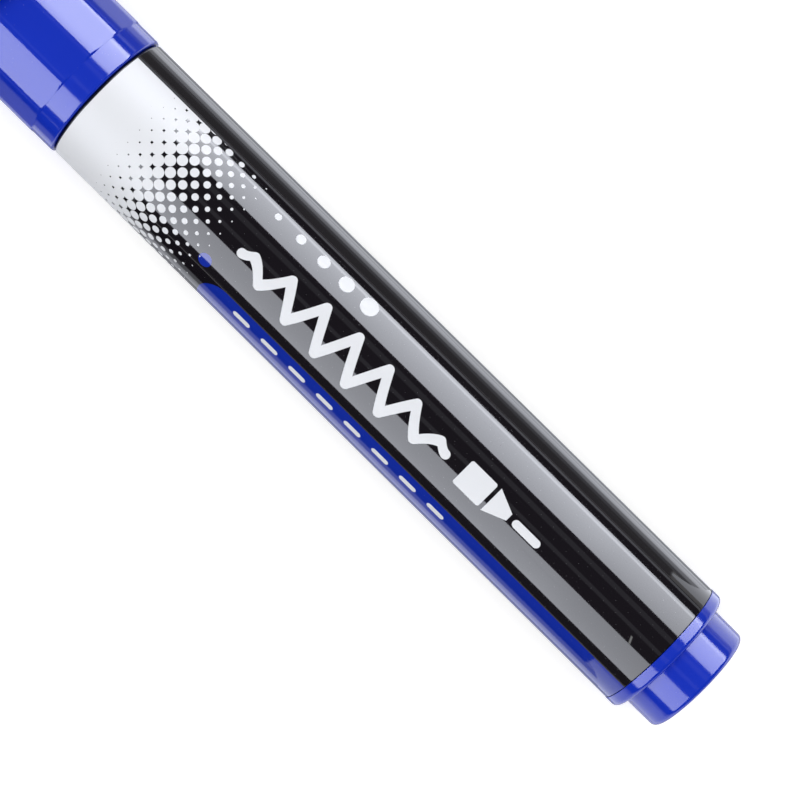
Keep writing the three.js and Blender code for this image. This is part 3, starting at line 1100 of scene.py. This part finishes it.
def makeCamera():
    data = bpy.data.cameras.new("camera")
    data.lens = view["lens"]
    data.sensor_width = view["sensor"]
    data.clip_start = view["clipStart"] * mm
    right = Vector((view["axisRight"], view["axisDown"], 0))
    up = Vector((-view["axisDown"], view["axisRight"], 0))
    turn = Matrix((right, up, right.cross(up))).transposed()
    camera = linked("camera", data)
    camera.matrix_world = Matrix.Translation(Vector(view["place"]) * mm) @ turn.to_4x4()
    bpy.context.scene.camera = camera


# Studio: a pale floor, a broad lamp, and strips, cards and floor patches that only gloss sees

studio = {
    "floorHalf": 560, "floorColour": 0.92, "floorLift": 0.40,
    "lampSize": 1000, "lampHeight": 700, "lampPower": 4.5,
    "worldDiffuse": 0.45, "worldGlossy": 0.03,
    "stripDistance": 600, "stripEnds": (-650, 420),
    "patchEnds": (-150, 66), "patchHeight": 0.2, "patchStep": 0.1,
    "tint": (0.95, 0.98, 1.07),
}
strips = [  # degrees from straight up towards +Y, half the spread, radiance from upper to lower side
    {"angle": 49.8, "spread": 22.5, "radiance": (8.4, 11.6), "fades": True},
    {"angle": -53.5, "spread": 20.9, "radiance": (6.0, 6.7), "fades": True},
    {"angle": 67.0, "spread": 1.9, "radiance": (15.0, 15.0), "nearer": 0.97, "fades": True},
    {"angle": 87.4, "spread": 2.2, "radiance": (1.35, 1.35), "fades": True},
    {"angle": 14.4, "spread": 4.0, "radiance": (0.32, 0.32)},
    {"angle": -10.5, "spread": 3.0, "radiance": (0.35, 0.35)},
]
stripFade = [(0.0, 1.0), (0.100, 1.0), (0.112, 0.91), (0.125, 0.88), (0.160, 0.80), (0.3, 0.80)]
cards = [  # dark cards beside the marker: distance from the axis, height, both ends, and radiance
    {"y": 44, "height": 12.6, "ends": (-150, 62.3), "radiance": 0.22},
    {"y": -29, "height": 12.8, "ends": (-150, 60.9), "radiance": 0.0},
]
patches = [  # bright patches on the floor: nearest and furthest side, radiance, and ends of their own
    {"sides": (9, 14), "radiance": 0.6},
    {"sides": (14, 18), "radiance": 1.75},
    {"sides": (18, 24), "radiance": 2.55},
    {"sides": (24, 32), "radiance": 1.25},
    {"sides": (32, 44), "radiance": 0.45},
    {"sides": (-9, -14), "radiance": 0.5},
    {"sides": (-14, -21), "radiance": 1.4},
    {"sides": (-21, -29), "radiance": 0.55},
    {"sides": (13, 90), "radiance": 2.5, "ends": (63.8, 150)},
    {"sides": (-13, -90), "radiance": 1.5, "ends": (62.4, 150)},
]


def stageObject(name, corners, material):
    made = meshObject(name, [Vector(corner) * mm for corner in corners], [[0, 1, 2, 3]])
    made.data.materials.append(material)
    return made


def onlyInGloss(piece):
    for ray in ("camera", "diffuse", "transmission", "volume_scatter", "shadow"):
        setattr(piece, "visible_" + ray, False)


def stageMaterial(name):
    material = bpy.data.materials.new(name)
    material.use_nodes = True
    tree = material.node_tree
    tree.nodes.clear()
    return material, tree, tree.nodes.new("ShaderNodeOutputMaterial").inputs[0]


def emission(tree, strength, colour=(1, 1, 1)):
    return nodeOut(tree, "ShaderNodeEmission", {"Color": (*colour, 1), "Strength": strength})


def cameraSees(tree, rays):  # 1 for what the camera sees, also through clear plastic
    return largest(tree, rays["Is Camera Ray"], rays["Is Transmission Ray"])


def faded(tree, along, strength):  # the strips dim towards the tail, by stations in metres
    last = stripFade[-1][0]
    ramp = addNode(tree, "ShaderNodeValToRGB", {0: over(tree, along, last)})
    elements = ramp.color_ramp.elements
    while len(elements) < len(stripFade):
        elements.new(0.5)
    for element, (station, level) in zip(elements, stripFade):
        element.position = station / last
        element.color = (level, level, level, 1)
    return times(tree, strength, ramp.outputs[0])


def makeStrip(index, strip):
    material, tree, surface = stageMaterial(f"strip light {index}")
    distance = studio["stripDistance"] * strip.get("nearer", 1)
    half = distance * math.tan(math.radians(strip["spread"]))
    lean = math.radians(strip["angle"])
    middle = Vector((0, math.sin(lean), math.cos(lean))) * distance + Vector((0, 0, axisHeight))
    down = Vector((0, math.cos(lean), -math.sin(lean))) * math.copysign(1, lean)
    where = objectPlace(tree)
    fromMiddle = nodeOut(tree, "ShaderNodeVectorMath", {0: where, 1: middle * mm}, operation="SUBTRACT")
    dot = addNode(tree, "ShaderNodeVectorMath", {0: fromMiddle, 1: down}, operation="DOT_PRODUCT")
    share = timesPlus(tree, dot.outputs["Value"], 0.5 / (half * mm), 0.5)
    strength = between(tree, share, *strip["radiance"])
    if strip.get("fades"):
        strength = faded(tree, parts(tree, where)[0], strength)
    put(tree, surface, emission(tree, strength, studio["tint"]))
    start, end = (Vector((x, 0, 0)) for x in studio["stripEnds"])
    corners = [middle + start - down * half, middle + end - down * half,
               middle + end + down * half, middle + start + down * half]
    onlyInGloss(stageObject(f"strip_{index}", corners, material))


def makeLowPatch(name, ends, nearSide, farSide, radiance, colour=(1, 1, 1)):  # a side is (y, height)
    material, tree, surface = stageMaterial(name)
    put(tree, surface, emission(tree, radiance, colour))
    start, end = ends
    corners = [(start, *nearSide), (end, *nearSide), (end, *farSide), (start, *farSide)]
    onlyInGloss(stageObject(name, corners, material))


def makeCards():
    for index, card in enumerate(cards):
        makeLowPatch(f"card_{index}", card["ends"], (card["y"], 0), (card["y"], card["height"]),
                     card["radiance"])


def makePatches():
    for index, patch in enumerate(patches):
        near, far = patch["sides"]
        level = studio["patchHeight"] + studio["patchStep"] * index
        makeLowPatch(f"glow_{index}", patch.get("ends", studio["patchEnds"]), (near, level), (far, level),
                     patch["radiance"], studio["tint"])


def makeFloor():
    material, tree, surface = stageMaterial("floor")
    level = studio["floorColour"]
    diffuse = nodeOut(tree, "ShaderNodeBsdfDiffuse", {"Color": (level, level, level, 1)})
    rays = addNode(tree, "ShaderNodeLightPath").outputs
    lift = emission(tree, times(tree, cameraSees(tree, rays), studio["floorLift"]))
    put(tree, surface, nodeOut(tree, "ShaderNodeAddShader", {0: diffuse, 1: lift}))
    half = studio["floorHalf"]
    corners = [(-half, -half, 0), (half, -half, 0), (half, half, 0), (-half, half, 0)]
    stageObject("floor", corners, material)


def makeLamp():
    data = bpy.data.lights.new("overhead lamp", "AREA")
    data.shape = "SQUARE"
    data.size = studio["lampSize"] * mm
    data.energy = studio["lampPower"]
    lamp = linked("overhead lamp", data)
    lamp.location = (view["place"][0] * mm, 0, studio["lampHeight"] * mm)
    lamp.visible_glossy = False
    lamp.visible_camera = False


def makeWorld():
    world = bpy.data.worlds.new("studio")
    bpy.context.scene.world = world
    world.use_nodes = True
    tree = world.node_tree
    background = next(node for node in tree.nodes if node.type == "BACKGROUND")
    rays = addNode(tree, "ShaderNodeLightPath").outputs
    dim = between(tree, rays["Is Glossy Ray"], studio["worldDiffuse"], studio["worldGlossy"])
    put(tree, background.inputs["Strength"], largest(tree, cameraSees(tree, rays), dim))
    put(tree, background.inputs["Color"], (1, 1, 1, 1))


makeCamera()
makeFloor()
makeCards()
makeLamp()
makeWorld()
makePatches()
for index, strip in enumerate(strips):
    makeStrip(index, strip)
bpy.context.scene.view_settings.view_transform = "Standard"
print("studio ready")
